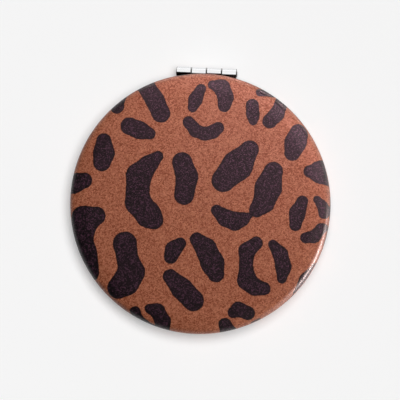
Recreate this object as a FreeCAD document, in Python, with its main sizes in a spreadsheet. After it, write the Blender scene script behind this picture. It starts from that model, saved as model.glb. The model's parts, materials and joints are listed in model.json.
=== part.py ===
import FreeCAD
import Part
import Sketcher
import math
import os

# A round compact mirror, closed and lying on its base, in millimetres.
# The origin is the centre of the base's flat underside, +Z is up and the hinge lies towards +Y.
# Both halves are made alike, from the underside up to the parting plane. The lid is the same half turned over.

SIZES = [
    ("case_radius", 35.0, "outside of the leather at its widest"),
    ("leather_thickness", 0.8, "printed leather with its backing"),
    ("foam_thickness", 0.5, "padding under the leather"),
    ("shell_thickness", 0.4, "tinplate of the pressed dish"),
    ("glue_line", 0.02, "film of glue between curved layers"),
    ("shoulder_width", 4.0, "from the rim in to where the face starts to fall away"),
    ("shoulder_slope", 11.0, "fall of the shoulder, in degrees"),
    ("shoulder_round", 14.0, "soft bend where the shoulder starts"),
    ("corner_round", 2.0, "outside of the leather where the shoulder turns down the side"),
    ("shell_corner", 0.7, "outside of the dish at the same turn"),
    ("foam_reach", 0.45, "share of the shoulder that the padding covers"),
    ("hem_length", 1.0, "leather turned in over the edge of the dish"),
    ("rim_flat", 0.1, "flat left on top of the rolled hem"),
    ("rim_clearance", 0.2, "from the hem up to the hinge leaf"),
    ("card_thickness", 1.0, "greyboard behind the glass"),
    ("card_margin", 0.2, "from the flat floor's edge in to the card"),
    ("card_land", 1.0, "from where the curved glass would touch the card out to its hole"),
    ("tape_thickness", 0.3, "double-sided tape on the card"),
    ("tape_margin", 0.5, "from the card's edge in to the tape"),
    ("glass_thickness", 1.8, "both mirrors"),
    ("glass_clearance", 0.2, "round the glass in its frame"),
    ("glass_edge", 0.2, "eased edge of the flat glass"),
    ("glass_curve", 600.0, "radius of the magnifying mirror's hollow face"),
    ("lip_thickness", 0.5, "frame in front of the glass"),
    ("lip_overlap", 0.6, "how far the frame covers the glass"),
    ("lip_round", 0.2, "inner edge of the frame"),
    ("frame_wall", 2.6, "frame beside the glass"),
    ("frame_round", 0.35, "outer edge of the frame"),
    ("frame_lift", 0.2, "from the dish's floor up to the frame"),
    ("parting_gap", 0.2, "between the two frames when closed"),
    ("hinge_offset", 0.45, "hinge axis beyond the rim"),
    ("barrel_radius", 1.5, "outside of the knuckles"),
    ("knuckle_width", 3.95, "one knuckle along the pin"),
    ("knuckle_gap", 0.15, "between neighbouring knuckles"),
    ("knuckle_round", 0.15, "eased ends of a knuckle"),
    ("leaf_thickness", 0.6, "plate that the knuckles are rolled from"),
    ("leaf_land", 0.5, "frame left between the glass seat and the leaf"),
    ("leaf_clearance", 0.25, "from a leaf to the other leaf's knuckles"),
    ("slot_clearance", 0.1, "each side of the leaf in the frame's slot"),
    ("pin_clearance", 0.05, "round the pin in the knuckles"),
    ("pin_overhang", 0.15, "pin beyond the end knuckles"),
    ("pin_round", 0.3, "rounded ends of the pin"),
    ("rivet_spacing", 10.0, "between the two rivets of a leaf"),
    ("rivet_shank", 0.45, "radius"),
    ("rivet_head", 0.8, "radius of the flush head"),
    ("rivet_sink", 0.3, "depth of the flush head"),
    ("rivet_tail", 0.7, "radius of the upset end"),
    ("rivet_upset", 0.15, "height of the upset end"),
    ("magnet_radius", 1.0, "each disc magnet"),
    ("magnet_height", 1.5, "each disc magnet"),
    ("magnet_spacing", 12.0, "between the two magnets of a frame"),
    ("pocket_clearance", 0.02, "round a magnet or rivet in its hole"),
]

# Worked out from the sizes above. A level is a height over the half's own underside.
PLACES = [
    ("crown_radius", "Sizes.case_radius - Sizes.shoulder_width"),
    ("flat_radius", "crown_radius - Sizes.shoulder_round * tan(Sizes.shoulder_slope / 2)"),
    ("lining_radius", "Sizes.case_radius - Sizes.leather_thickness"),
    ("shell_radius", "lining_radius - Sizes.glue_line"),
    ("shell_bore", "shell_radius - Sizes.shell_thickness"),
    ("hem_radius", "shell_bore - Sizes.glue_line"),
    ("hem_bore", "hem_radius - Sizes.leather_thickness"),
    ("frame_radius", "hem_bore - Sizes.glue_line"),
    ("seat_radius", "frame_radius - Sizes.frame_wall"),
    ("glass_radius", "seat_radius - Sizes.glass_clearance"),
    ("lip_radius", "glass_radius - Sizes.lip_overlap"),
    ("foam_radius", "crown_radius + Sizes.foam_reach * Sizes.shoulder_width"),
    ("card_radius", "min(flat_radius; glass_radius) - Sizes.card_margin"),
    ("tape_radius", "card_radius - Sizes.tape_margin"),
    ("foam_depth", "Sizes.leather_thickness + Sizes.glue_line"),
    ("foam_back", "foam_depth + Sizes.foam_thickness"),
    ("shell_depth", "foam_back + Sizes.glue_line"),
    ("floor_depth", "shell_depth + Sizes.shell_thickness"),
    ("tape_level", "floor_depth + Sizes.card_thickness"),
    ("glass_level", "tape_level + Sizes.tape_thickness"),
    ("lip_level", "glass_level + Sizes.glass_thickness"),
    ("bezel_level", "lip_level + Sizes.lip_thickness"),
    ("parting_level", "bezel_level + Sizes.parting_gap / 2"),
    ("closed_height", "2 * parting_level"),
    ("leaf_level", "parting_level - Sizes.barrel_radius"),
    ("rim_level", "leaf_level - Sizes.rim_clearance"),
    ("hem_level", "rim_level - Sizes.hem_length"),
    ("fold_level", "rim_level - Sizes.leather_thickness"),
    ("shell_top", "fold_level - Sizes.glue_line"),
    ("rim_round", "(Sizes.case_radius - hem_bore - Sizes.rim_flat) / 2"),
    ("frame_level", "(frame_radius - crown_radius) * tan(Sizes.shoulder_slope)"
     " + floor_depth / cos(Sizes.shoulder_slope) + Sizes.frame_lift"),
    ("ring_middle", "(seat_radius + frame_radius) / 2"),
    ("axle_place", "Sizes.case_radius + Sizes.hinge_offset"),
    ("barrel_bore", "Sizes.barrel_radius - Sizes.leaf_thickness"),
    ("pin_radius", "barrel_bore - Sizes.pin_clearance"),
    ("knuckle_pitch", "Sizes.knuckle_width + Sizes.knuckle_gap"),
    ("barrel_length", "4 * Sizes.knuckle_width + 3 * Sizes.knuckle_gap"),
    ("barrel_start", "-barrel_length / 2"),
    ("pin_length", "barrel_length + 2 * Sizes.pin_overhang"),
    ("leaf_inner", "seat_radius + Sizes.leaf_land"),
    ("leaf_outer", "axle_place - sqrt((Sizes.barrel_radius + Sizes.leaf_clearance) ^ 2 - barrel_bore ^ 2)"),
    ("leaf_root", "(leaf_inner + leaf_outer) / 2"),
    ("magnet_level", "parting_level - Sizes.magnet_height"),
    ("magnet_place", "-sqrt(ring_middle ^ 2 - Sizes.magnet_spacing ^ 2 / 4)"),
    ("rivet_place", "sqrt(ring_middle ^ 2 - Sizes.rivet_spacing ^ 2 / 4)"),
    ("curve_centre", "lip_level + sqrt(Sizes.glass_curve ^ 2 - glass_radius ^ 2)"),
    ("curve_back", "Sizes.glass_curve + Sizes.glass_thickness"),
    ("card_bore", "sqrt(curve_back ^ 2 - (curve_centre - tape_level) ^ 2) + Sizes.card_land"),
    ("tape_bore", "card_bore + Sizes.tape_margin"),
]

doc = FreeCAD.newDocument("compact_mirror")


def fill_sheet(name, rows, as_text):
    sheet = doc.addObject("Spreadsheet::Sheet", name)
    for number, (alias, value, *note) in enumerate(rows, start=1):
        sheet.set(f"A{number}", alias)
        sheet.set(f"B{number}", as_text(value))
        sheet.setAlias(f"B{number}", alias)
        sheet.set(f"C{number}", "".join(note))
    return sheet


sizes = fill_sheet("Sizes", SIZES, str)
fill_sheet("Places", PLACES, lambda formula: "=" + formula)
doc.recompute()


def value_of(formula):
    return float(sizes.evalExpression(formula))


# Sketching

def new_sketch(body, name, role, level=None):
    sketch = body.newObject("Sketcher::SketchObject", name)
    plane = next(item for item in body.Origin.OriginFeatures if item.Role == role)
    sketch.AttachmentSupport = [(plane, "")]
    sketch.MapMode = "FlatFace"
    if level:
        sketch.setExpression("AttachmentOffset.Base.z", level)
    return sketch


def hold(sketch, constraint, formula):
    index = sketch.addConstraint(constraint)
    sketch.setExpression(f"Constraints[{index}]", formula)


def fix_point(sketch, item, end, across, up):
    # A point on an axis of the sketch is tied to that axis, any other by its distance from the origin.
    for kind, axis, formula in (("DistanceX", -2, across), ("DistanceY", -1, up)):
        if formula == "0":
            sketch.addConstraint(Sketcher.Constraint("PointOnObject", item, end, axis))
        else:
            hold(sketch, Sketcher.Constraint(kind, -1, 1, item, end, value_of(formula)), formula)


def draw_circle(sketch, across, up, radius):
    centre = FreeCAD.Vector(value_of(across), value_of(up), 0)
    ring = sketch.addGeometry(Part.Circle(centre, FreeCAD.Vector(0, 0, 1), value_of(radius)))
    fix_point(sketch, ring, 3, across, up)
    hold(sketch, Sketcher.Constraint("Radius", ring, value_of(radius)), radius)


def draw_outline(sketch, corners):
    # Each corner is (across, up) or (across, up, round): a closed outline of straight sides and tangent arcs.
    points = [FreeCAD.Vector(value_of(corner[0]), value_of(corner[1]), 0) for corner in corners]
    count = len(corners)
    leaves = list(points)
    meets = list(points)
    arcs = {}
    for number, corner in enumerate(corners):
        if len(corner) == 2:
            continue
        radius = value_of(corner[2])
        back = (points[number - 1] - points[number]).normalize()
        ahead = (points[(number + 1) % count] - points[number]).normalize()
        half_angle = back.getAngle(ahead) / 2
        reach = radius / math.tan(half_angle)
        meets[number] = points[number] + back * reach
        leaves[number] = points[number] + ahead * reach
        centre = points[number] + (back + ahead).normalize() * (radius / math.sin(half_angle))
        turns_left = (meets[number] - centre).cross(leaves[number] - centre).z > 0
        first, last = (meets[number], leaves[number]) if turns_left else (leaves[number], meets[number])
        angles = [math.atan2(end.y - centre.y, end.x - centre.x) for end in (first, last)]
        circle = Part.Circle(centre, FreeCAD.Vector(0, 0, 1), radius)
        arcs[number] = (Part.ArcOfCircle(circle, *angles), turns_left)
    sides = [
        sketch.addGeometry(Part.LineSegment(leaves[number], meets[(number + 1) % count]))
        for number in range(count)
    ]
    for number, corner in enumerate(corners):
        before, after = sides[number - 1], sides[number]
        if number not in arcs:
            sketch.addConstraint(Sketcher.Constraint("Coincident", before, 2, after, 1))
            fix_point(sketch, after, 1, corner[0], corner[1])
            continue
        shape, turns_left = arcs[number]
        arc = sketch.addGeometry(shape)
        start, end = (1, 2) if turns_left else (2, 1)
        sketch.addConstraint(Sketcher.Constraint("Tangent", before, 2, arc, start))
        sketch.addConstraint(Sketcher.Constraint("Tangent", arc, end, after, 1))
        hold(sketch, Sketcher.Constraint("Radius", arc, value_of(corner[2])), corner[2])
        apex = sketch.addGeometry(Part.Point(points[number]), True)
        fix_point(sketch, apex, 1, corner[0], corner[1])
        sketch.addConstraint(Sketcher.Constraint("PointOnObject", apex, 1, before))
        sketch.addConstraint(Sketcher.Constraint("PointOnObject", apex, 1, after))


# Features

def new_body(label):
    return doc.addObject("PartDesign::Body", label)


def revolve(body, corners):
    sketch = new_sketch(body, body.Name + "_section", "XZ_Plane")
    draw_outline(sketch, corners)
    turned = body.newObject("PartDesign::Revolution", body.Name + "_turned")
    turned.Profile = sketch
    turned.ReferenceAxis = (sketch, ["V_Axis"])
    turned.Angle = 360
    body.Tip = turned


def pad(body, sketch, length):
    raised = body.newObject("PartDesign::Pad", sketch.Name + "_pad")
    raised.Profile = sketch
    raised.setExpression("Length", length)
    body.Tip = raised
    return raised


def pocket(body, sketch, length, upwards=False):
    # Cuts down from the sketch, or up from it, and makes sure that something was cut.
    doc.recompute()
    before = body.Shape.Volume
    cut = body.newObject("PartDesign::Pocket", sketch.Name + "_pocket")
    cut.Profile = sketch
    cut.Reversed = upwards
    cut.setExpression("Length", length)
    body.Tip = cut
    doc.recompute()
    if not body.Shape.Volume < before:
        raise RuntimeError(f"{cut.Name} cuts nothing")


def disc(label, radius, level, thickness, bore=None):
    body = new_body(label)
    sketch = new_sketch(body, label + "_outline", "XY_Plane", level)
    draw_circle(sketch, "0", "0", radius)
    if bore:
        draw_circle(sketch, "0", "0", bore)
    pad(body, sketch, thickness)
    return body


def cylinder(name, radius, height, level):
    post = doc.addObject("Part::Cylinder", name)
    post.setExpression("Radius", radius)
    post.setExpression("Height", height)
    post.setExpression("Placement.Base.z", level)
    return post


def either_side(spacing):
    return [f"-{spacing} / 2", f"{spacing} / 2"]


# The layers of a covered shell: each follows the outside at its own depth.

def shoulder_start(depth, round_off):
    across = f"Places.crown_radius - ({depth}) * tan(Sizes.shoulder_slope / 2)"
    return (across, depth, round_off)


def shoulder_height(radius, depth):
    slope = "Sizes.shoulder_slope"
    return f"({radius} - Places.crown_radius) * tan({slope}) + ({depth}) / cos({slope})"


def leather_cover(label):
    body = new_body(label)
    face, back = "0", "Sizes.leather_thickness"
    revolve(body, [
        ("0", face),
        ("Places.crown_radius", face, "Sizes.shoulder_round"),
        ("Sizes.case_radius", shoulder_height("Sizes.case_radius", face), "Sizes.corner_round"),
        ("Sizes.case_radius", "Places.rim_level", "Places.rim_round"),
        ("Places.hem_bore", "Places.rim_level", "Places.rim_round"),
        ("Places.hem_bore", "Places.hem_level"),
        ("Places.hem_radius", "Places.hem_level"),
        ("Places.hem_radius", "Places.fold_level"),
        ("Places.lining_radius", "Places.fold_level"),
        ("Places.lining_radius", shoulder_height("Places.lining_radius", back),
         "Sizes.corner_round - Sizes.leather_thickness"),
        shoulder_start(back, "Sizes.shoulder_round - Sizes.leather_thickness"),
        ("0", back),
    ])
    return body


def padding(label):
    body = new_body(label)
    face, back = "Places.foam_depth", "Places.foam_back"
    revolve(body, [
        ("0", face),
        shoulder_start(face, "Sizes.shoulder_round - Places.foam_depth"),
        ("Places.foam_radius", shoulder_height("Places.foam_radius", face)),
        ("Places.foam_radius", shoulder_height("Places.foam_radius", back)),
        shoulder_start(back, "Sizes.shoulder_round - Places.foam_back"),
        ("0", back),
    ])
    return body


def shell(label):
    body = new_body(label)
    face, back = "Places.shell_depth", "Places.floor_depth"
    revolve(body, [
        ("0", face),
        shoulder_start(face, "Sizes.shoulder_round - Places.shell_depth"),
        ("Places.shell_radius", shoulder_height("Places.shell_radius", face), "Sizes.shell_corner"),
        ("Places.shell_radius", "Places.shell_top"),
        ("Places.shell_bore", "Places.shell_top"),
        ("Places.shell_bore", shoulder_height("Places.shell_bore", back),
         "Sizes.shell_corner - Sizes.shell_thickness"),
        shoulder_start(back, "Sizes.shoulder_round - Places.floor_depth"),
        ("0", back),
    ])
    return body


# The frame round the glass, with its slot for the hinge leaf and its holes for rivets and magnets

def mirror_frame(label):
    body = new_body(label)
    revolve(body, [
        ("Places.seat_radius", "Places.frame_level"),
        ("Places.frame_radius", "Places.frame_level"),
        ("Places.frame_radius", "Places.bezel_level", "Sizes.frame_round"),
        ("Places.lip_radius", "Places.bezel_level", "Sizes.lip_round"),
        ("Places.lip_radius", "Places.lip_level"),
        ("Places.seat_radius", "Places.lip_level"),
    ])
    slot = new_sketch(body, label + "_slot", "XY_Plane", "Places.leaf_level")
    left, right = [
        "Places.barrel_start - Sizes.slot_clearance",
        "-Places.barrel_start + Sizes.slot_clearance",
    ]
    draw_outline(slot, [
        (left, "Places.leaf_inner"),
        (right, "Places.leaf_inner"),
        (right, "Places.axle_place"),
        (left, "Places.axle_place"),
    ])
    pocket(body, slot, "Sizes.leaf_thickness", upwards=True)
    holes = new_sketch(body, label + "_rivet_holes", "XY_Plane", "Places.bezel_level")
    sinks = new_sketch(body, label + "_rivet_sinks", "XY_Plane", "Places.bezel_level")
    for side in either_side("Sizes.rivet_spacing"):
        draw_circle(holes, side, "Places.rivet_place", "Sizes.rivet_shank + Sizes.pocket_clearance")
        draw_circle(sinks, side, "Places.rivet_place", "Sizes.rivet_head + Sizes.pocket_clearance")
    pocket(body, holes, "Places.bezel_level")
    pocket(body, sinks, "Sizes.rivet_sink")
    seats = new_sketch(body, label + "_magnet_seats", "XY_Plane", "Places.bezel_level")
    for side in either_side("Sizes.magnet_spacing"):
        draw_circle(seats, side, "Places.magnet_place", "Sizes.magnet_radius + Sizes.pocket_clearance")
    pocket(body, seats, "Places.bezel_level - Places.magnet_level")
    return body


def magnets(label):
    body = new_body(label)
    sketch = new_sketch(body, label + "_outline", "XY_Plane", "Places.magnet_level")
    for side in either_side("Sizes.magnet_spacing"):
        draw_circle(sketch, side, "Places.magnet_place", "Sizes.magnet_radius")
    pad(body, sketch, "Sizes.magnet_height")
    return body


# The hinge: a leaf has the first and third knuckles. Turned over with the lid, they become the fourth and second.

def knuckle_outline(sketch):
    # A knuckle rolled from the leaf: flat underneath up to the axle, then round it and back onto the leaf.
    axle = FreeCAD.Vector(value_of("Places.axle_place"), value_of("Places.parting_level"), 0)
    radius = value_of("Sizes.barrel_radius")
    low = value_of("Places.leaf_level")
    high = low + value_of("Sizes.leaf_thickness")
    root = value_of("Places.leaf_root")
    drop = axle.y - high
    joins = FreeCAD.Vector(axle.x - math.sqrt(radius ** 2 - drop ** 2), high, 0)
    under = FreeCAD.Vector(axle.x, low, 0)
    round_part = Part.Circle(axle, FreeCAD.Vector(0, 0, 1), radius)
    join_angle = math.pi + math.asin(drop / radius)
    bottom = sketch.addGeometry(Part.LineSegment(FreeCAD.Vector(root, low, 0), under))
    barrel = sketch.addGeometry(Part.ArcOfCircle(round_part, -math.pi / 2, join_angle))
    top = sketch.addGeometry(Part.LineSegment(joins, FreeCAD.Vector(root, high, 0)))
    end = sketch.addGeometry(Part.LineSegment(FreeCAD.Vector(root, high, 0), FreeCAD.Vector(root, low, 0)))
    sketch.addConstraint(Sketcher.Constraint("Tangent", bottom, 2, barrel, 1))
    sketch.addConstraint(Sketcher.Constraint("Coincident", barrel, 2, top, 1))
    sketch.addConstraint(Sketcher.Constraint("Coincident", top, 2, end, 1))
    sketch.addConstraint(Sketcher.Constraint("Coincident", end, 2, bottom, 1))
    sketch.addConstraint(Sketcher.Constraint("Horizontal", bottom))
    sketch.addConstraint(Sketcher.Constraint("Horizontal", top))
    sketch.addConstraint(Sketcher.Constraint("Vertical", end))
    fix_point(sketch, barrel, 3, "Places.axle_place", "Places.parting_level")
    hold(sketch, Sketcher.Constraint("Radius", barrel, radius), "Sizes.barrel_radius")
    fix_point(sketch, end, 1, "Places.leaf_root", "Places.leaf_level + Sizes.leaf_thickness")


def hinge_leaf(label):
    body = new_body(label)
    plate = new_sketch(body, label + "_plate", "XY_Plane", "Places.leaf_level")
    draw_outline(plate, [
        ("Places.barrel_start", "Places.leaf_inner"),
        ("-Places.barrel_start", "Places.leaf_inner"),
        ("-Places.barrel_start", "Places.leaf_outer"),
        ("Places.barrel_start", "Places.leaf_outer"),
    ])
    pad(body, plate, "Sizes.leaf_thickness")
    holes = new_sketch(body, label + "_rivet_holes", "XY_Plane", "Places.leaf_level")
    for side in either_side("Sizes.rivet_spacing"):
        draw_circle(holes, side, "Places.rivet_place", "Sizes.rivet_shank + Sizes.pocket_clearance")
    pocket(body, holes, "Sizes.leaf_thickness", upwards=True)
    knuckle = new_sketch(body, label + "_knuckle", "YZ_Plane", "Places.barrel_start")
    knuckle_outline(knuckle)
    draw_circle(knuckle, "Places.axle_place", "Places.parting_level", "Places.barrel_bore")
    first = pad(body, knuckle, "Sizes.knuckle_width")
    both = body.newObject("PartDesign::LinearPattern", label + "_knuckles")
    both.Originals = [first]
    both.Direction = (knuckle, ["N_Axis"])
    both.setExpression("Length", "2 * Places.knuckle_pitch")
    both.Occurrences = 2
    body.Tip = both
    doc.recompute()
    rims = [
        f"Edge{number}"
        for number, edge in enumerate(both.Shape.Edges, start=1)
        if isinstance(edge.Curve, Part.Circle)
        and math.isclose(edge.Curve.Radius, value_of("Sizes.barrel_radius"))
    ]
    eased = body.newObject("PartDesign::Fillet", label + "_eased")
    eased.Base = (both, rims)
    eased.setExpression("Radius", "Sizes.knuckle_round")
    body.Tip = eased
    return body


def hinge_rivets(label):
    pair = []
    for number, side in enumerate(either_side("Sizes.rivet_spacing"), start=1):
        name = f"{label}_{number}"
        head = cylinder(name + "_head", "Sizes.rivet_head", "Sizes.rivet_sink",
                        "Places.bezel_level - Sizes.rivet_sink")
        shank = cylinder(name + "_shank", "Sizes.rivet_shank", "Places.bezel_level - Places.frame_level",
                         "Places.frame_level")
        tail = cylinder(name + "_tail", "Sizes.rivet_tail", "Sizes.rivet_upset",
                        "Places.frame_level - Sizes.rivet_upset")
        for piece in (head, shank, tail):
            piece.setExpression("Placement.Base.x", side)
            piece.setExpression("Placement.Base.y", "Places.rivet_place")
        rivet = doc.addObject("Part::MultiFuse", name)
        rivet.Shapes = [head, shank, tail]
        pair.append(rivet)
    group = doc.addObject("Part::Compound", label)
    group.Links = pair
    return group


def hinge_pin(label):
    body = new_body(label)
    revolve(body, [
        ("0", "0"),
        ("Places.pin_radius", "0", "Sizes.pin_round"),
        ("Places.pin_radius", "Places.pin_length", "Sizes.pin_round"),
        ("0", "Places.pin_length"),
    ])
    body.Placement.Rotation = FreeCAD.Rotation(FreeCAD.Vector(0, 1, 0), 90)
    body.setExpression("Placement.Base.x", "-Places.pin_length / 2")
    body.setExpression("Placement.Base.y", "Places.axle_place")
    body.setExpression("Placement.Base.z", "Places.parting_level")
    return body


# The mirrors and what holds them

def flat_mirror(label):
    body = new_body(label)
    revolve(body, [
        ("0", "Places.glass_level"),
        ("Places.glass_radius", "Places.glass_level", "Sizes.glass_edge"),
        ("Places.glass_radius", "Places.lip_level", "Sizes.glass_edge"),
        ("0", "Places.lip_level"),
    ])
    return body


def sphere(name, radius):
    ball = doc.addObject("Part::Sphere", name)
    ball.setExpression("Radius", radius)
    ball.setExpression("Placement.Base.z", "Places.curve_centre")
    return ball


def cut_from(name, base, tool):
    rest = doc.addObject("Part::Cut", name)
    rest.Base = base
    rest.Tool = tool
    return rest


def hollow_mirror(label):
    # A round piece of a hollow glass ball, its rim level with the underside of the frame's lip.
    blank = cylinder(label + "_blank", "Places.glass_radius", "Places.lip_level - Places.floor_depth",
                     "Places.floor_depth")
    hollowed = cut_from(label + "_hollowed", blank, sphere(label + "_face", "Sizes.glass_curve"))
    glass = doc.addObject("Part::Common", label)
    glass.Base = hollowed
    glass.Tool = sphere(label + "_back", "Places.curve_back")
    return glass


def bedded_tape(label):
    # A ring of tape pressed to the curved back of the glass.
    height = "Places.glass_level - Places.tape_level"
    whole = cylinder(label + "_whole", "Places.tape_radius", height, "Places.tape_level")
    middle = cylinder(label + "_middle", "Places.tape_bore", height, "Places.tape_level")
    ring = cut_from(label + "_ring", whole, middle)
    return cut_from(label, ring, sphere(label + "_bed", "Places.curve_back"))


def turn_over(piece):
    piece.Placement = FreeCAD.Placement(FreeCAD.Vector(), FreeCAD.Rotation(FreeCAD.Vector(0, 1, 0), 180))
    piece.setExpression("Placement.Base.z", "Places.closed_height")


def half(name):
    return [
        leather_cover(name + "_leather_cover"),
        padding(name + "_padding"),
        shell(name + "_shell"),
        mirror_frame(name + "_mirror_frame"),
        magnets(name + "_magnets"),
        hinge_leaf(name + "_hinge_leaf"),
        hinge_rivets(name + "_hinge_rivets"),
    ]


base = half("base")
base += [
    disc("base_backing_card", "Places.card_radius", "Places.floor_depth", "Sizes.card_thickness",
         "Places.card_bore"),
    bedded_tape("base_mirror_tape"),
    hollow_mirror("base_mirror"),
    hinge_pin("hinge_pin"),
]
lid = half("lid")
lid += [
    disc("lid_backing_card", "Places.card_radius", "Places.floor_depth", "Sizes.card_thickness"),
    disc("lid_mirror_tape", "Places.tape_radius", "Places.tape_level", "Sizes.tape_thickness"),
    flat_mirror("lid_mirror"),
]
for piece in lid:
    turn_over(piece)
doc.recompute()

for item in doc.Objects:
    if "Invalid" in item.State or "Error" in item.State:
        raise RuntimeError(f"{item.Label} failed: {item.State}")
for piece in base + lid:
    if piece.Shape.isNull() or not piece.Shape.isValid() or not piece.Shape.Solids:
        raise RuntimeError(f"{piece.Label} has no valid solid")

os.makedirs("parts", exist_ok=True)
for piece in base + lid:
    piece.Shape.exportStep(f"parts/{piece.Label}.step")
    box = piece.Shape.optimalBoundingBox()
    print(f"{piece.Label}: {len(piece.Shape.Solids)} solid, {piece.Shape.Volume:.2f} mm3,"
          f" y {box.YMin:.2f} to {box.YMax:.2f}, z {box.ZMin:.2f} to {box.ZMax:.2f}")
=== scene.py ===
import bmesh
import bpy
import json
import math
import numpy as np
from mathutils import Matrix, Vector


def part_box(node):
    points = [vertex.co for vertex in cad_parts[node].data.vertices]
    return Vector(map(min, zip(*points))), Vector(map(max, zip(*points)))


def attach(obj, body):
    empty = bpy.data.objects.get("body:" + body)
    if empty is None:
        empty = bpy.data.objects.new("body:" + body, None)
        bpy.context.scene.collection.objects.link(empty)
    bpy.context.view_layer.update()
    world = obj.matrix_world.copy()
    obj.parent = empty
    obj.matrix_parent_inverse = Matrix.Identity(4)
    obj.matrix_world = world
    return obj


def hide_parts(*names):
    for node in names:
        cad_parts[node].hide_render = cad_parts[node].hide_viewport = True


# Closed compact mirror in leopard print, seen from above. Everything is in metres, in the frame's own axes.
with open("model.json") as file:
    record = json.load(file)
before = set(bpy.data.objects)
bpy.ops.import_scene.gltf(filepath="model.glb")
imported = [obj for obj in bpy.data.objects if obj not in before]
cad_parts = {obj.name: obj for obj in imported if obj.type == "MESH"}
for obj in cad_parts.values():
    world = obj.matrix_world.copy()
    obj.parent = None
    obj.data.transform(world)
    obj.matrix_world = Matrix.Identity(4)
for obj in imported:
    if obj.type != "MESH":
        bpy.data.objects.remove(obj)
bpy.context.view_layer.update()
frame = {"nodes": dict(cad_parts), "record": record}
nodes = frame["nodes"]
mm = 0.001
print("frame loaded with", len(nodes), "nodes")


# Shader helpers
class Wire:
    # one socket, so that shader maths reads as plain arithmetic
    def __init__(self, tree, socket):
        self.tree = tree
        self.socket = socket

    def math(self, operation, *values):
        node = self.tree.nodes.new("ShaderNodeMath")
        node.operation = operation
        for slot, value in zip(node.inputs, values):
            plug(self.tree, slot, value)
        return Wire(self.tree, node.outputs[0])

    def __add__(self, other):
        return self.math("ADD", self, other)

    def __sub__(self, other):
        return self.math("SUBTRACT", self, other)

    def __mul__(self, other):
        return self.math("MULTIPLY", self, other)

    def __truediv__(self, other):
        return self.math("DIVIDE", self, other)

    def __rsub__(self, other):
        return self.math("SUBTRACT", other, self)

    def __rtruediv__(self, other):
        return self.math("DIVIDE", other, self)

    __radd__ = __add__
    __rmul__ = __mul__


def plug(tree, slot, value):
    if isinstance(value, Wire):
        tree.links.new(value.socket, slot)
    else:
        slot.default_value = value


def tone(red, green, blue):
    # a colour as seen on screen, 0 to 255, turned into the shader's linear values
    parts = [channel / 255 for channel in (red, green, blue)]
    return [c / 12.92 if c <= 0.04045 else ((c + 0.055) / 1.055) ** 2.4 for c in parts] + [1.0]


class Finish:
    # a material with one Principled shader, and the nodes that feed it
    def __init__(self, name):
        self.material = bpy.data.materials.new(name)
        self.material.use_nodes = True
        self.tree = self.material.node_tree
        self.shader = self.tree.nodes["Principled BSDF"]
        self.place = self.node("ShaderNodeTexCoord", output="Object")

    def node(self, kind, settings=None, sockets=None, output=0):
        made = self.tree.nodes.new(kind)
        for name, value in (settings or {}).items():
            setattr(made, name, value)
        for name, value in (sockets or {}).items():
            plug(self.tree, made.inputs[name], value)
        return Wire(self.tree, made.outputs[output])

    def noise(self, size, detail=2.0, roughness=0.5, vector=None):
        # size is the width of one bump in metres
        sockets = {"Vector": vector or self.place, "Scale": 1 / size, "Detail": detail, "Roughness": roughness}
        return self.node("ShaderNodeTexNoise", None, sockets)

    def cells(self, size, feature="F1"):
        sockets = {"Vector": self.place, "Scale": 1 / size}
        return self.node("ShaderNodeTexVoronoi", {"feature": feature}, sockets, "Distance")

    def patches(self, size):
        # a grey of its own for each cell
        tint = self.node("ShaderNodeTexVoronoi", None, {"Vector": self.place, "Scale": 1 / size}, "Color")
        return self.node("ShaderNodeSeparateColor", None, {"Color": tint})

    def stretch(self, scale):
        return self.node("ShaderNodeMapping", None, {"Vector": self.place, "Scale": scale})

    def fade(self, value, low, high):
        # 0 below low, 1 above high, soft in between
        sockets = {"Value": value, "From Min": low, "From Max": high}
        return self.node("ShaderNodeMapRange", {"interpolation_type": "SMOOTHSTEP"}, sockets)

    def mix(self, factor, first, second):
        return self.node("ShaderNodeMix", {"data_type": "RGBA"}, {0: factor, 6: first, 7: second}, 2)

    def bump(self, height, depth):
        return self.node("ShaderNodeBump", None, {"Height": height, "Distance": depth, "Strength": 1.0})

    def shade(self, sockets):
        for name, value in sockets.items():
            plug(self.tree, self.shader.inputs[name], value)
        return self.material


# Printed leather
leather = {
    "tanLight": tone(187, 119, 89),
    "tanDeep": tone(108, 43, 12),
    "inkDeep": tone(3, 1, 2),
    "inkPale": tone(85, 55, 71),
    "grain": 0.28 * mm,        # width of one pebble of the embossed grain
    "grainDepth": 0.045 * mm,
    "fineGrain": 0.4,          # how much finer bumps add to the pebbles' relief
    "valley": 0.3,             # how far up a pebble the dark valley round it reaches
    "cloud": 6 * mm,           # width of the broad changes of the tan
    "pebbleTone": 0.8,         # how much a pebble's own tone, its valley and the clouds change the tan
    "valleyTone": 0.2,
    "cloudTone": 0.2,
    "wander": 0.9 * mm,        # length of the waves along the ink's edge
    "edgeWander": 0.30,        # how far the edge wanders, in mm
    "edgeSoftness": 0.10,      # half the width of the edge, in mm
    "flecks": (0.45, 1.0),     # which pebbles show as paler flecks in the ink
    "fleckDepth": (-0.9, -0.1),  # mm from the ink's edge: all flecks inside the first, few past the second
    "edgeFlecks": 0.25,        # what is left of them at the edge, and in the valleys
    "valleyFlecks": 0.4,
    "rim": (33.1, 35.2),       # where the leather is drawn over the rim and worn smooth, in mm along the skin
    "rimFade": 0.6,
    "rimPress": 0.4,           # how far the grain is pressed flat there
    "polish": 0.06,
    "smooth": 0.36,            # roughness of the smoothest pebble and of the roughest
    "rough": 0.62,
}


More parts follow.
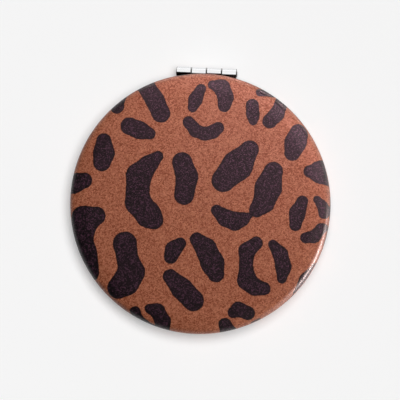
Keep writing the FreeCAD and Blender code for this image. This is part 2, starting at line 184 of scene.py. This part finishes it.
def printedLeather():
    values = leather
    finish = Finish("printedLeather")
    toEdge = finish.node("ShaderNodeAttribute", {"attribute_name": "toPrintEdge"}, None, "Fac")
    along = finish.node("ShaderNodeAttribute", {"attribute_name": "run"}, None, "Fac")
    # each pebble has a tone of its own, with a darker valley round it
    pebble = finish.patches(values["grain"])
    dome = finish.fade(finish.cells(values["grain"], "DISTANCE_TO_EDGE"), 0.0, values["valley"])
    cloud = finish.noise(values["cloud"], 3.0) - 0.5
    light = pebble * values["pebbleTone"] + dome * values["valleyTone"] + cloud * values["cloudTone"]
    tan = finish.mix(light, values["tanDeep"], values["tanLight"])
    # the print lies on the grain, darkest along its edge
    wander = finish.noise(values["wander"], 2.0) - 0.5
    softness = values["edgeSoftness"]
    ink = 1 - finish.fade(toEdge + wander * values["edgeWander"], -softness, softness)
    inside = 1 - finish.fade(toEdge, *values["fleckDepth"])
    flecks = finish.fade(pebble, *values["flecks"])
    flecks = flecks * (values["valleyFlecks"] + dome * (1 - values["valleyFlecks"]))
    flecks = flecks * (values["edgeFlecks"] + inside * (1 - values["edgeFlecks"]))
    inkTone = finish.mix(flecks, values["inkDeep"], values["inkPale"])
    start, end = values["rim"]
    fade = values["rimFade"]
    worn = finish.fade(along, start, start + fade) - finish.fade(along, end - fade, end)
    relief = finish.noise(values["grain"], 2.0, 0.6) * values["fineGrain"] - finish.cells(values["grain"])
    return finish.shade({
        "Base Color": finish.mix(ink, tan, inkTone),
        "Roughness": values["rough"] - pebble * (values["rough"] - values["smooth"]) - worn * values["polish"],
        "Normal": finish.bump(relief * (1 - worn * values["rimPress"]), values["grainDepth"]),
        "Specular IOR Level": 0.5,
    })


# Chrome plating on the rings and the hinge; the hinge's plating has painted shade in its recess and seams
plating = {
    "ring": (tone(204, 206, 209), tone(219, 219, 220)),   # dull and clear
    "hinge": (tone(238, 239, 241), tone(249, 249, 249)),
    "smear": 3 * mm,                                      # width of the faint smears
    "roughness": 0.05,
    "haze": 0.05,                                         # what a smear adds to the roughness
    "hazeFade": (0.45, 0.8),
}
# painted shade on the hinge: the recess towards the case and the seams between the knuckles are darkened where
# shadow falls
hinge = {
    "recess": (35.10 * mm, 35.35 * mm),  # along y, from the painted shade to bright
    "topSide": (6.42 * mm, 6.60 * mm),   # up along z, from bright to the painted shade
    "pitch": 4.1 * mm,                   # from one knuckle to the next
    "seam": (0.10 * mm, 0.24 * mm),      # half width of the painted shade along a seam, and where it has faded out
    # colour of the painted shade
    "dark": tone(30, 22, 22),
}


def chromePlate(piece, paintedShade=None):
    # on the hinge, painted shade darkens the plating in the recess towards the case and in the seams between
    # the knuckles, where shadow falls
    values = plating
    finish = Finish(piece + "Chrome")
    smear = finish.noise(values["smear"], 3.0)
    bright = finish.mix(smear, *values[piece])
    if paintedShade:
        across, inward, upward = [
            finish.node("ShaderNodeSeparateXYZ", None, {"Vector": finish.place}, axis) for axis in "XYZ"
        ]
        toSeam = across.math("PINGPONG", across, paintedShade["pitch"] / 2)
        # painted shade: dark towards the case past the recess edge and high on the leaf, and along each seam
        paintedShadeMask = (1 - finish.fade(inward, *paintedShade["recess"])) * finish.fade(upward, *paintedShade["topSide"])
        bright = finish.mix((1 - paintedShadeMask) * finish.fade(toSeam, *paintedShade["seam"]), paintedShade["dark"], bright)
    return finish.shade({
        "Base Color": bright,
        "Metallic": 1.0,
        "Roughness": values["roughness"] + finish.fade(smear, *values["hazeFade"]) * values["haze"],
    })


# Silvered glass
glass = {
    "clear": tone(244, 247, 246),
    "dusty": tone(205, 206, 204),
    "smear": 9 * mm,
    "smearFade": (0.5, 0.8),
    "dust": 1.7 * mm,          # from one grain of dust to the next, and how large a grain is within that
    "dustFade": (0.0, 0.035),
    "roughness": 0.012,        # of clean glass, and what a smear and dust add
    "smearRough": 0.03,
    "dustRough": 0.3,
}


def silveredGlass():
    values = glass
    finish = Finish("silveredGlass")
    smear = finish.fade(finish.noise(values["smear"], 4.0, 0.6), *values["smearFade"])
    clean = finish.fade(finish.cells(values["dust"]), *values["dustFade"])
    return finish.shade({
        "Base Color": finish.mix(clean, values["dusty"], values["clear"]),
        "Metallic": 1.0,
        "Roughness": values["roughness"] + smear * values["smearRough"] + (1 - clean) * values["dustRough"],
    })


# Drawn and plated steel of the small pieces
metal = {
    "lines": 0.12 * mm,        # width and depth of the fine lines
    "lineDepth": 0.004 * mm,
    "stain": 1.5 * mm,
    "darker": 40,              # by how much the darkest stain is darker, of 255
    "stainTone": 0.5,          # how much the stains and the lines change the colour
    "lineTone": 0.3,
    "stainRough": 0.08,        # what they add to the roughness
    "lineRough": 0.15,
}


def steel(name, colour, roughness, drawn):
    # drawn is how the fine lines of the metal run: a small number makes them long along that axis
    values = metal
    finish = Finish(name)
    lines = finish.noise(values["lines"], 2.0, 0.6, finish.stretch(drawn))
    stain = finish.noise(values["stain"], 3.0)
    dark = tone(*[channel - values["darker"] for channel in colour])
    light = stain * values["stainTone"] + lines * values["lineTone"]
    return finish.shade({
        "Base Color": finish.mix(light, dark, tone(*colour)),
        "Metallic": 1.0,
        "Roughness": roughness + lines * values["lineRough"] + stain * values["stainRough"],
        "Normal": finish.bump(lines, values["lineDepth"]),
    })


# Tinplate of the shells
tin = {
    "dark": tone(176, 179, 181),
    "pale": tone(206, 207, 206),
    "spangle": 4 * mm,         # width of one patch of the tin
    "lines": 0.2 * mm,         # width and depth of the rolling lines, and how they run
    "lineDepth": 0.004 * mm,
    "rolled": (0.05, 1, 1),
    "roughness": 0.26,         # of the brightest patch, and what patches and lines add
    "uneven": 0.1,
}


def tinplate():
    values = tin
    finish = Finish("tinplate")
    spangle = finish.patches(values["spangle"])
    lines = finish.noise(values["lines"], 2.0, 0.6, finish.stretch(values["rolled"]))
    return finish.shade({
        "Base Color": finish.mix(spangle, values["dark"], values["pale"]),
        "Metallic": 1.0,
        "Roughness": values["roughness"] + spangle * values["uneven"] + lines * values["uneven"],
        "Normal": finish.bump(lines, values["lineDepth"]),
    })


# Board behind the glass
board = {
    "dark": tone(128, 122, 114),
    "pale": tone(158, 152, 143),
    "fleck": tone(98, 94, 92),
    "fibre": 0.5 * mm,
    "fibreDepth": 0.05 * mm,
    "fibreRun": (0.35, 1, 1),
    "flecks": 0.9 * mm,
    "fleckFade": (0.62, 0.7),
    "roughness": 0.88,
    "fibreRough": 0.1,
}


def greyboard():
    values = board
    finish = Finish("greyboard")
    fibre = finish.noise(values["fibre"], 4.0, 0.7, finish.stretch(values["fibreRun"]))
    flecks = finish.fade(finish.noise(values["flecks"], 1.0), *values["fleckFade"])
    grey = finish.mix(fibre, values["dark"], values["pale"])
    return finish.shade({
        "Base Color": finish.mix(flecks, grey, values["fleck"]),
        "Roughness": values["roughness"] + fibre * values["fibreRough"],
        "Normal": finish.bump(fibre, values["fibreDepth"]),
    })


# Tape between board and glass
tape = {
    "dark": tone(222, 220, 208),
    "pale": tone(242, 240, 232),
    "fibre": 0.4 * mm,
    "fibreDepth": 0.02 * mm,
    "roughness": 0.5,
    "fibreRough": 0.2,
}


def paperTape():
    values = tape
    finish = Finish("paperTape")
    fibre = finish.noise(values["fibre"], 3.0, 0.6)
    return finish.shade({
        "Base Color": finish.mix(fibre, values["dark"], values["pale"]),
        "Roughness": values["roughness"] + fibre * values["fibreRough"],
        "Normal": finish.bump(fibre, values["fibreDepth"]),
    })


# Foam under the leather
sponge = {
    "pale": tone(238, 234, 222),
    "deep": tone(204, 198, 184),
    "bubble": 0.35 * mm,
    "bubbleDepth": 0.08 * mm,
    "roughness": 0.9,
    "bubbleRough": 0.08,
}


def softFoam():
    values = sponge
    finish = Finish("softFoam")
    bubbles = finish.cells(values["bubble"], "SMOOTH_F1")
    return finish.shade({
        "Base Color": finish.mix(bubbles, values["pale"], values["deep"]),
        "Roughness": values["roughness"] + bubbles * values["bubbleRough"],
        "Normal": finish.bump(bubbles * -1, values["bubbleDepth"]),
    })


finishes = {
    "printed_leather": printedLeather(),
    "foam": softFoam(),
    "tinplate": tinplate(),
    "greyboard": greyboard(),
    "tape": paperTape(),
    "mirror_glass": silveredGlass(),
    "chrome": chromePlate("ring"),
    "magnet": steel("nickelPlate", colour=(214, 209, 200), roughness=0.14, drawn=(1, 1, 0.1)),
    "rivet_steel": steel("rivetSteel", colour=(206, 206, 208), roughness=0.2, drawn=(1, 1, 0.2)),
    # the pin is dark steel, made darker still as painted shade so that the gaps between the knuckles look
    # shaded
    "pin_steel": steel("pinSteel", colour=(128, 126, 124), roughness=0.3, drawn=(0.06, 1, 1)),
}
# the hinge's plating, with painted shade in its recess and seams
hingeChromeWithPaintedShade = chromePlate("hinge", hinge)
for subpart in frame["record"]["subparts"]:
    name = subpart["node"]
    surface = hingeChromeWithPaintedShade if "hinge_leaf" in name else finishes[subpart["material_slot"]]
    nodes[name].data.materials.clear()
    nodes[name].data.materials.append(surface)
print("finishes made:", len(finishes) + 1)


# The print, on the lid seen from above with the hinge upwards.
# Each spot is a brush stroke, given by dabs of (x, y, half width) in mm.
spots = {
    "topBar": [(-17.7, 32.9, 2.5), (-13.4, 27.0, 2.4), (-11.6, 23.6, 2.55)],
    "topRimChip": [(-23.6, 24.9, 2.0), (-24.4, 28.1, 3.2)],
    "slantOval": [(-19.9, 19.7, 2.4), (-17.1, 18.8, 2.25), (-14.3, 18.0, 1.6)],
    "leftOval": [(-26.6, 15.4, 2.1), (-26.35, 12.2, 2.75), (-26.75, 9.6, 2.4)],
    "leftRimSpot": [(-31.2, 4.5, 2.15), (-34.1, 3.6, 2.6), (-37.4, 3.0, 2.4)],
    "leaf": [(-1.2, 30.7, 1.4), (-2.5, 27.8, 1.75), (-3.15, 25.6, 1.35)],
    "arch": [(1.8, 32.0, 1.25), (4.3, 31.4, 2.1), (5.55, 28.8, 2.0), (5.3, 26.5, 1.75)],
    "smile": [(-4.0, 21.6, 1.65), (-1.9, 19.35, 1.65), (0.5, 18.65, 1.6), (2.6, 19.3, 1.65),
              (4.0, 20.5, 1.6)],
    "drop": [(12.8, 26.95, 1.8), (13.1, 24.5, 1.6), (13.3, 22.8, 1.2)],
    "rightRimChip": [(14.7, 30.7, 1.2), (17.7, 31.3, 1.7)],
    "elbow": [(17.7, 23.0, 2.0), (19.5, 25.0, 1.85), (20.5, 27.8, 1.6), (21.1, 30.0, 1.6)],
    "rightOval": [(25.7, 20.2, 2.55), (24.85, 17.5, 2.8), (24.2, 14.8, 2.15)],
    "rimWedge": [(29.0, 10.1, 1.6), (32.0, 10.1, 3.0), (36.0, 10.3, 4.1)],
    "bigOval": [(12.75, 15.1, 2.5), (9.75, 10.75, 4.0), (6.15, 6.55, 3.2)],
    "longOval": [(19.4, 9.6, 2.6), (18.3, 5.2, 3.5), (17.3, 1.2, 2.8), (15.5, -0.9, 2.05)],
    "hammock": [(4.8, -1.6, 1.55), (7.3, -3.5, 2.15), (9.9, -4.25, 2.35), (11.9, -3.6, 1.7),
                (13.6, -2.6, 0.85)],
    "shortBar": [(27.6, 2.0, 1.6), (26.4, -1.2, 2.05), (26.05, -4.4, 1.65)],
    "rimHook": [(31.45, 2.7, 1.05), (33.15, 1.0, 1.3), (33.6, -0.8, 1.35), (35.2, -0.2, 1.3)],
    "rimBoot": [(29.0, -7.65, 1.5), (31.3, -7.15, 1.55), (33.0, -5.05, 1.35), (34.8, -4.8, 0.9)],
    "bracket": [(-11.75, 12.0, 1.5), (-14.1, 9.75, 2.35), (-16.55, 6.6, 3.35), (-16.7, 2.5, 3.0),
                (-16.4, -0.6, 3.35), (-13.2, -4.0, 3.35), (-11.7, -5.2, 2.35)],
    "kidney": [(-5.15, 10.75, 2.75), (-3.65, 7.0, 2.85), (-4.15, 2.05, 2.7)],
    "leftRimBlob": [(-27.4, -4.8, 2.5), (-30.6, -6.2, 3.8), (-32.3, -11.0, 4.1), (-30.9, -15.5, 4.2),
                    (-29.5, -18.5, 3.4), (-28.2, -20.2, 2.3)],
    "hourglass": [(-19.3, -11.9, 3.3), (-18.4, -15.8, 2.75), (-17.1, -19.3, 3.45), (-18.5, -22.15, 3.5),
                  (-20.6, -23.9, 2.9)],
    "pebble": [(-4.5, -11.0, 1.65), (-6.2, -12.7, 2.1), (-6.8, -14.75, 1.85)],
    "cigar": [(-0.1, -9.65, 1.9), (2.5, -12.0, 2.75), (4.5, -15.8, 3.05), (5.6, -18.65, 2.25)],
    "lowBar": [(-6.6, -20.0, 2.05), (-3.35, -23.0, 2.75), (-0.1, -26.05, 2.9)],
    "crescent": [(15.9, -9.8, 1.8), (13.5, -12.0, 2.1), (13.5, -16.0, 1.7), (13.95, -19.8, 2.5),
                 (16.15, -21.6, 2.1), (18.6, -21.8, 1.8)],
    "bow": [(20.4, -9.95, 1.35), (22.5, -12.4, 1.9), (23.5, -15.7, 2.0), (23.25, -18.85, 1.35)],
    "rimLens": [(28.4, -22.6, 1.8), (30.6, -19.4, 2.7), (32.4, -16.1, 1.7)],
    "lowBean": [(10.7, -28.7, 1.45), (12.1, -27.7, 1.85), (14.7, -28.6, 1.9)],
    "lowRimSpot": [(8.7, -31.9, 1.75), (9.8, -34.3, 2.3)],
    "lowElbow": [(-11.8, -28.9, 1.3), (-9.6, -29.4, 1.9), (-8.0, -32.0, 2.0), (-8.2, -35.0, 2.0)],
    "lowRimTail": [(-15.6, -29.9, 1.5), (-15.2, -31.3, 1.3), (-13.1, -32.9, 0.9), (-10.9, -34.0, 0.7)],
    "sideChip": [(16.4, -31.6, 0.7), (18.0, -30.8, 0.7)],
    # sideLine is a thin dark line along the rim's side under the left of the hinge
    "sideLine": [(-7.9, 35.0, 0.6), (-4.9, 35.6, 0.6)],
}
dabBlend = 0.35    # mm over which the dabs of one stroke run together
farFromInk = 50.0  # mm, for places that no spot comes near


def distanceToPrint(across, up):
    # mm from each point to the nearest spot's edge, below zero inside the ink
    nearest = np.full(across.shape, farFromInk)
    for dabs in spots.values():
        total = np.zeros(across.shape)
        for (x0, y0, w0), (x1, y1, w1) in zip(dabs, dabs[1:]):
            dx, dy = x1 - x0, y1 - y0
            along = np.clip(((across - x0) * dx + (up - y0) * dy) / (dx ** 2 + dy ** 2), 0, 1)
            away = np.hypot(across - x0 - along * dx, up - y0 - along * dy)
            total += np.exp(-np.clip(away - w0 - along * (w1 - w0), -20, 20) / dabBlend)
        nearest = np.minimum(nearest, -dabBlend * np.log(total + 1e-30))
    return nearest


# Leather covers: the section of one half in mm, from the middle of its face over the rim to the turned-in hem
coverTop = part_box("base_leather_cover")[1]
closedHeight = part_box("lid_leather_cover")[1].z
cover = {
    "radius": coverTop.x / mm,
    "rimLevel": coverTop.z / mm,
    "thickness": 0.8,
    "crown": 31.0,             # where the face starts to fall away
    "slope": math.radians(11),
    "bend": 14.0,              # soft bend at the crown
    "corner": 2.0,             # turn from the shoulder into the side
    "hemBore": 32.96,
    "hemOutside": 33.76,
    "hemLength": 1.0,
    "rimFlat": 0.1,
    "steps": 512,              # round the case
    "spacing": 0.5,            # rings on the flat of the face, and on its lining
    "liningSpacing": 2.0,
    "liningArcs": 4,           # steps in a rounded corner of the lining
    "pleats": (104, 38),       # small and broad gathers where the hem turns in, and the share of each
    "pleatShares": (0.55, 0.45),
    "pleatDrift": (1.3, 7),    # how far the small ones stray, and how many times round the case
    "pleatDepth": 0.05,
    "pleatRise": 0.8,          # over which the gathers fade in, from a little before the hem
    "pleatLead": 0.4,
    "bare": 5.0,               # distance to the print given to the leather's back, so that it shows no ink
    # the base wears the same print, turned on
    "printTurn": {"lid": math.radians(0.5), "base": math.radians(130)},
}


def roundedPath(corners, spacing, arcSteps=10):
    # points along a line through (r, z, rounding) corners, with tangent arcs at the rounded ones
    points = [Vector(corners[0][:2])]
    for before, (r, z, rounding), after in zip(corners, corners[1:], corners[2:]):
        here = Vector((r, z))
        back = (Vector(before[:2]) - here).normalized()
        ahead = (Vector(after[:2]) - here).normalized()
        half = back.angle(ahead) / 2
        if rounding:
            middle = here + (back + ahead).normalized() * (rounding / math.sin(half))
            start = here + back * (rounding / math.tan(half)) - middle
            turn = math.pi - 2 * half
            if start.x * ahead.y - start.y * ahead.x < 0:
                turn = -turn
            steps = [middle + Matrix.Rotation(turn * i / arcSteps, 2) @ start for i in range(arcSteps + 1)]
        else:
            steps = [here]
        points += divided(points[-1], steps[0], spacing)[1:] + steps[1:]
    return points + divided(points[-1], Vector(corners[-1][:2]), spacing)[1:]


def divided(start, end, spacing):
    count = max(1, math.ceil((end - start).length / spacing))
    return [start.lerp(end, i / count) for i in range(count + 1)]


def spun(side, name, section, steps):
    # a closed skin turned round the z axis from section points in mm; the lid's is then turned over on top.
    # run keeps how far each point lies along the skin
    mesh = bpy.data.meshes.new(side + name)
    bm = bmesh.new()
    run = bm.verts.layers.float.new("run")
    travelled = 0.0
    chain = []
    for number, point in enumerate(section):
        travelled += (point - section[number - 1]).length if number else 0.0
        vert = bm.verts.new((point.x * mm, 0, point.y * mm))
        vert[run] = travelled
        chain.append(vert)
    edges = [bm.edges.new(pair) for pair in zip(chain, chain[1:])]
    # one sector is spun, then copied round and merged, which is much quicker than a full spin
    sectors = 8
    sector = math.tau / sectors
    upright = {"axis": (0, 0, 1), "cent": (0, 0, 0)}
    bmesh.ops.spin(bm, geom=chain + edges, angle=sector, steps=steps // sectors, **upright)
    bmesh.ops.spin(bm, geom=bm.verts[:] + bm.edges[:] + bm.faces[:], angle=(sectors - 1) * sector,
                   steps=sectors - 1, use_duplicate=True, **upright)
    bmesh.ops.remove_doubles(bm, verts=bm.verts, dist=1e-7)
    bmesh.ops.recalc_face_normals(bm, faces=bm.faces)
    for face in bm.faces:
        face.smooth = True
    bm.to_mesh(mesh)
    bm.free()
    if side == "lid":
        mesh.transform(Matrix.Translation((0, 0, closedHeight)) @ Matrix.Rotation(math.pi, 4, "Y"))
    piece = bpy.data.objects.new(side + name, mesh)
    bpy.context.scene.collection.objects.link(piece)
    return piece


def shoulderHeight(radius, depth):
    slope = cover["slope"]
    return (radius - cover["crown"]) * math.tan(slope) + depth / math.cos(slope)


def crownCorner(depth):
    return (cover["crown"] - depth * math.tan(cover["slope"] / 2), depth, cover["bend"] - depth)


def coverSection():
    values = cover
    radius, rim, thick = values["radius"], values["rimLevel"], values["thickness"]
    lining = radius - thick
    roll = (radius - values["hemBore"] - values["rimFlat"]) / 2
    bore, hem, hemEnd = values["hemBore"], values["hemOutside"], rim - values["hemLength"]
    outside = roundedPath([
        (0, 0, 0), crownCorner(0), (radius, shoulderHeight(radius, 0), values["corner"]), (radius, rim, roll),
        (bore, rim, roll), (bore, hemEnd, 0),
    ], values["spacing"])
    inside = roundedPath([
        (bore, hemEnd, 0), (hem, hemEnd, 0), (hem, rim - thick, 0), (lining, rim - thick, 0),
        (lining, shoulderHeight(lining, thick), values["corner"] - thick), crownCorner(thick), (0, thick, 0),
    ], values["liningSpacing"], values["liningArcs"])
    return outside, inside


def gathers(angle):
    # an uneven ripple round the hem, from -1 to 1
    small, broad = cover["pleats"]
    smallShare, broadShare = cover["pleatShares"]
    drift, waves = cover["pleatDrift"]
    ripple = smallShare * np.sin(small * angle + drift * np.sin(waves * angle))
    return ripple + broadShare * np.sin(broad * angle + 2.0)


def leatherCover(side):
    values = cover
    outside, inside = coverSection()
    piece = spun(side, "Cover", outside + inside[1:], values["steps"])
    mesh = piece.data
    count = len(mesh.vertices)
    place = np.zeros(count * 3)
    mesh.vertices.foreach_get("co", place)
    place = place.reshape(-1, 3)
    run = np.zeros(count)
    mesh.attributes["run"].data.foreach_get("value", run)
    angle = np.arctan2(place[:, 1], place[:, 0])
    # past the end of the hem the skin is the back of the leather
    hemEnd = sum((b - a).length for a, b in zip(outside, outside[1:]))
    lining = run > hemEnd + 0.01
    # the hem's gathers fade in over the roll of the rim
    rimTop = hemEnd - values["hemLength"] - values["pleatLead"]
    ripple = gathers(angle) * np.clip((run - rimTop) / values["pleatRise"], 0, 1) * ~lining
    place[:, 2] += ripple * values["pleatDepth"] * mm * (1 if side == "lid" else -1)
    mesh.vertices.foreach_set("co", place.ravel())
    angle += values["printTurn"][side]
    toEdge = distanceToPrint(run * np.cos(angle), run * np.sin(angle))
    toEdge[lining] = values["bare"]
    layer = mesh.attributes.new("toPrintEdge", "FLOAT", "POINT")
    layer.data.foreach_set("value", toEdge.astype(np.float32))
    mesh.materials.append(finishes["printed_leather"])
    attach(piece, side)
    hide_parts(side + "_leather_cover")
    return piece


covers = [leatherCover("lid"), leatherCover("base")]


# Foam pads, given in mm as the covers are
foam = {
    "face": 0.82,              # depth of the pad's face and of its back under the leather's face
    "back": 1.32,
    "reach": 32.8,
    "edge": 0.12,              # rounding
    "spacing": 1.5,
    "arcs": 4,
    "steps": 128,
}


def foamPad(side):
    values = foam
    face, back, reach, edge = values["face"], values["back"], values["reach"], values["edge"]
    section = roundedPath([
        (0, face, 0), crownCorner(face), (reach, shoulderHeight(reach, face), edge),
        (reach, shoulderHeight(reach, back), edge), crownCorner(back), (0, back, 0),
    ], values["spacing"], values["arcs"])
    piece = spun(side, "Pad", section, values["steps"])
    piece.data.materials.append(finishes["foam"])
    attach(piece, side)
    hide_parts(side + "_padding")


foamPad("lid")
foamPad("base")
print("padding laid in")


# Chrome rings round the glass, turned finely so that their polished edges glint in one line
ring = {
    "lip": 29.54,                # inner radius over the glass
    "seat": 30.34,               # radius beside the glass
    "lipThickness": 0.5,
    "edge": 0.35,                # rounding outside, and at the lip
    "lipEdge": 0.2,
    "flush": 0.01,               # the rivet heads stand this much proud
    "crease": math.radians(40),  # sharper edges stay crisp
    "spacing": 0.3,
    "steps": 384,
}


def chromeRing(side):
    values = ring
    low, high = [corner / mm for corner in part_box("base_mirror_frame")]
    foot, radius, top = low.z, high.x, high.z - values["flush"]
    seat, lip, under = values["seat"], values["lip"], top - values["lipThickness"]
    section = roundedPath([
        (seat, foot, 0), (radius, foot, 0), (radius, top, values["edge"]), (lip, top, values["lipEdge"]),
        (lip, under, 0), (seat, under, 0), (seat, foot, 0),
    ], values["spacing"])
    piece = spun(side, "Ring", section, values["steps"])
    piece.data.set_sharp_from_angle(angle=values["crease"])
    piece.data.materials.append(finishes["chrome"])
    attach(piece, side)
    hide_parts(side + "_mirror_frame")
    print(side, "ring turned:", len(piece.data.polygons), "faces")


chromeRing("lid")
chromeRing("base")


# Camera: nearly overhead, turned a little so that the hinge leans to the right of straight up
view = {
    "frameWidth": 107.4 * mm,                # what the picture spans at the lid
    "distance": 0.7,
    "tilt": math.radians(4.5),
    "tiltTowards": math.radians(-25),        # from the picture's right
    "roll": math.radians(2.7),
    "centreOffset": (0.11 * mm, 0.97 * mm),  # the picture's middle, right of and above the lid's
    "belowTop": 2 * mm,                      # what it aims at lies this far under the lid's face
    "sensor": 36.0,
}
right = Vector((math.cos(view["roll"]), math.sin(view["roll"]), 0))
upward = Vector((-math.sin(view["roll"]), math.cos(view["roll"]), 0))
target = Vector((0, 0, closedHeight - view["belowTop"]))
target += right * view["centreOffset"][0] + upward * view["centreOffset"][1]


def inPicture(angle):
    return right * math.cos(angle) + upward * math.sin(angle)


def placed(name, data, spot, aim, top):
    # an object at spot that looks at aim, with top upwards
    back = (spot - aim).normalized()
    side = top.cross(back).normalized()
    turn = Matrix((side, back.cross(side), back)).transposed()
    item = bpy.data.objects.new(name, data)
    item.matrix_world = Matrix.Translation(spot) @ turn.to_4x4()
    bpy.context.scene.collection.objects.link(item)
    return item


lens = bpy.data.cameras.new("camera")
lens.sensor_width = view["sensor"]
lens.lens = view["sensor"] * view["distance"] / view["frameWidth"]
lens.clip_start = 0.01
lean = inPicture(view["tiltTowards"]) * math.sin(view["tilt"]) + Vector((0, 0, math.cos(view["tilt"])))
bpy.context.scene.camera = placed("camera", lens, target + lean * view["distance"], target, upward)

# Overhead and window light the compact softly from the upper right, and sideFill its side at the lower right.
# Gloss, card and rimCard are only mirrored in the leather, softBox in the metal and panel in the mirrors.
# The floor has a lamp of its own, so that its shadow stays short and soft.
# From and height are in degrees, round from the picture's right and up from the floor.
# A lamp's level is how bright it alone makes a white surface that faces it.
lights = {
    "overhead": {"from": 70, "height": 78, "distance": 0.30, "size": (0.08, 0.08), "level": 0.41,
                 "colour": (1, 0.97, 0.96), "shadow": True, "mirrored": False, "onto": "object"},
    "window": {"from": 67, "height": 50, "distance": 0.16, "size": (0.087, 0.087), "level": 0.57,
               "colour": (0.95, 1, 1.03), "shadow": False, "mirrored": False, "onto": "object"},
    "sideFill": {"from": -36, "height": 8, "distance": 0.30, "size": (0.12, 0.12), "level": 0.58,
                 "colour": (1, 0.97, 0.95), "shadow": False, "mirrored": False, "onto": "leather"},
    "gloss": {"from": 58, "height": 50, "distance": 0.085, "size": (0.17, 0.045), "level": 1.36,
              "colour": (1, 0.63, 0.74), "shadow": False, "mirrored": True, "onto": "leather"},
    "card": {"from": -26, "height": 0, "distance": 0.30, "size": (0.15, 0.04), "level": 2.9,
             "colour": (1, 0.77, 0.74), "shadow": False, "mirrored": True, "onto": "leather"},
    "rimCard": {"from": 66, "height": 0, "distance": 0.30, "size": (0.75, 0.04), "level": 2.0,
                "colour": (1, 0.70, 0.70), "shadow": False, "mirrored": True, "onto": "leather"},
    "softBox": {"from": 80, "height": 46, "distance": 0.50, "size": (1.20, 0.96), "level": 1.10,
                "colour": (1, 1, 1), "shadow": False, "mirrored": True, "onto": "metal"},
    "panel": {"from": 80, "height": 80, "distance": 0.50, "size": (2.00, 2.00), "level": 2.2, "spread": 140,
              "colour": (0.96, 0.99, 1), "shadow": False, "mirrored": True, "onto": "mirrors"},
    "floorLamp": {"from": 28, "height": 79.5, "distance": 1.00, "size": (0.62, 0.46), "level": 0.98,
                  "colour": (1, 1, 1), "shadow": True, "mirrored": False, "onto": "floor"},
}
room = {
    "ambient": 0.04,         # light from all round
    "pale": 0.95,            # the backdrop, as the camera sees it
    "wall": 0.22,            # what the pieces mirror: grey walls under a dark ceiling
    "ceiling": 0.02,
    "wallTop": (0.25, 0.5),  # where the walls go over into the ceiling, as the sine of the height
}
floorLook = {"size": 3.0, "drop": 0.02 * mm, "colour": 0.75, "roughness": 0.9}


def lampPlace(values):
    height = math.radians(values["height"])
    return inPicture(math.radians(values["from"])) * math.cos(height) + Vector((0, 0, math.sin(height)))


def seenRays(finish):
    # 1 for rays from the camera, and 1 for these and the rays from metal and through glass
    kinds = ("Is Camera Ray", "Is Glossy Ray", "Is Transmission Ray")
    camera, glossy, through = [finish.node("ShaderNodeLightPath", output=kind) for kind in kinds]
    return camera, camera.math("MAXIMUM", camera, glossy.math("MAXIMUM", glossy, through))


def paleFloor():
    # lit by its lamp, and lifted by a glow of its own to an even pale tone, so that the shadow shows on it
    values = floorLook
    finish = Finish("paleFloor")
    lamp = lights["floorLamp"]
    axis = lampPlace(lamp)
    spot = target + axis * lamp["distance"]
    away = finish.node("ShaderNodeVectorMath", {"operation": "SUBTRACT"}, {0: list(spot), 1: finish.place})
    length = finish.node("ShaderNodeVectorMath", {"operation": "LENGTH"}, {0: away}, "Value")
    facing = finish.node("ShaderNodeVectorMath", {"operation": "DOT_PRODUCT"},
                         {0: away, 1: list(axis)}, "Value")
    square = length * length
    lit = facing * axis.z * lamp["distance"] ** 3 * lamp["level"] / (square * square) + room["ambient"]
    seen = seenRays(finish)[1]
    glow = seen * (room["pale"] - lit * values["colour"])
    finish.shade({
        "Base Color": [values["colour"]] * 3 + [1.0],
        "Roughness": values["roughness"],
        "Specular IOR Level": 0.0,
        "Emission Color": finish.mix(glow, (0, 0, 0, 1), (1, 1, 1, 1)),
        "Emission Strength": 1.0,
    })
    mesh = bpy.data.meshes.new("floor")
    bm = bmesh.new()
    bmesh.ops.create_grid(bm, x_segments=1, y_segments=1, size=values["size"] / 2)
    bmesh.ops.translate(bm, verts=bm.verts, vec=(0, 0, -values["drop"]))
    bm.to_mesh(mesh)
    bm.free()
    mesh.materials.append(finish.material)
    floor = bpy.data.objects.new("floor", mesh)
    bpy.context.scene.collection.objects.link(floor)
    return floor


def hangLamps(floor):
    # which pieces a lamp shines on, and whether it shines on these alone or on all others
    mirrors = [nodes["lid_mirror"], nodes["base_mirror"]]
    onto = {
        "floor": ([floor], "INCLUDE"),
        "leather": (covers, "INCLUDE"),
        "mirrors": (mirrors, "INCLUDE"),
        "metal": (covers + mirrors + [floor], "EXCLUDE"),
        "object": ([floor], "EXCLUDE"),
    }
    for name, values in lights.items():
        lamp = bpy.data.lights.new(name, "AREA")
        lamp.shape = "ELLIPSE"
        lamp.size, lamp.size_y = values["size"]
        lamp.color = values["colour"]
        lamp.use_shadow = values["shadow"]
        lamp.spread = math.radians(values.get("spread", 180))
        lamp.energy = values["level"] * math.pi ** 2 * values["distance"] ** 2
        hung = placed(name, lamp, target + lampPlace(values) * values["distance"], target, Vector((0, 0, 1)))
        hung.visible_camera = False
        hung.visible_glossy = values["mirrored"]
        hung.visible_diffuse = not values["mirrored"]
        takers, state = onto[values["onto"]]
        group = bpy.data.collections.new(name + "Takers")
        for taker in takers:
            group.objects.link(taker)
        for member in group.collection_objects:
            member.light_linking.link_state = state
        hung.light_linking.receiver_collection = group


class Room(Finish):
    # the world's own nodes, made with the same method
    def __init__(self, name):
        self.material = bpy.data.worlds.new(name)
        self.material.use_nodes = True
        self.tree = self.material.node_tree
        self.shader = self.tree.nodes["Background"]
        self.place = self.node("ShaderNodeTexCoord", output="Generated")


def studioRoom():
    values = room
    finish = Room("studioRoom")
    rise = finish.node("ShaderNodeSeparateXYZ", None, {"Vector": finish.place}, "Z")
    around = values["wall"] - finish.fade(rise, *values["wallTop"]) * (values["wall"] - values["ceiling"])
    camera, seen = seenRays(finish)
    level = camera * values["pale"] + (seen - camera) * around + (1 - seen) * values["ambient"]
    finish.shade({"Color": (1, 1, 1, 1), "Strength": level})
    bpy.context.scene.world = finish.material


hangLamps(paleFloor())
studioRoom()
bpy.context.scene.view_settings.view_transform = "Standard"
print("camera, lights and floor set")
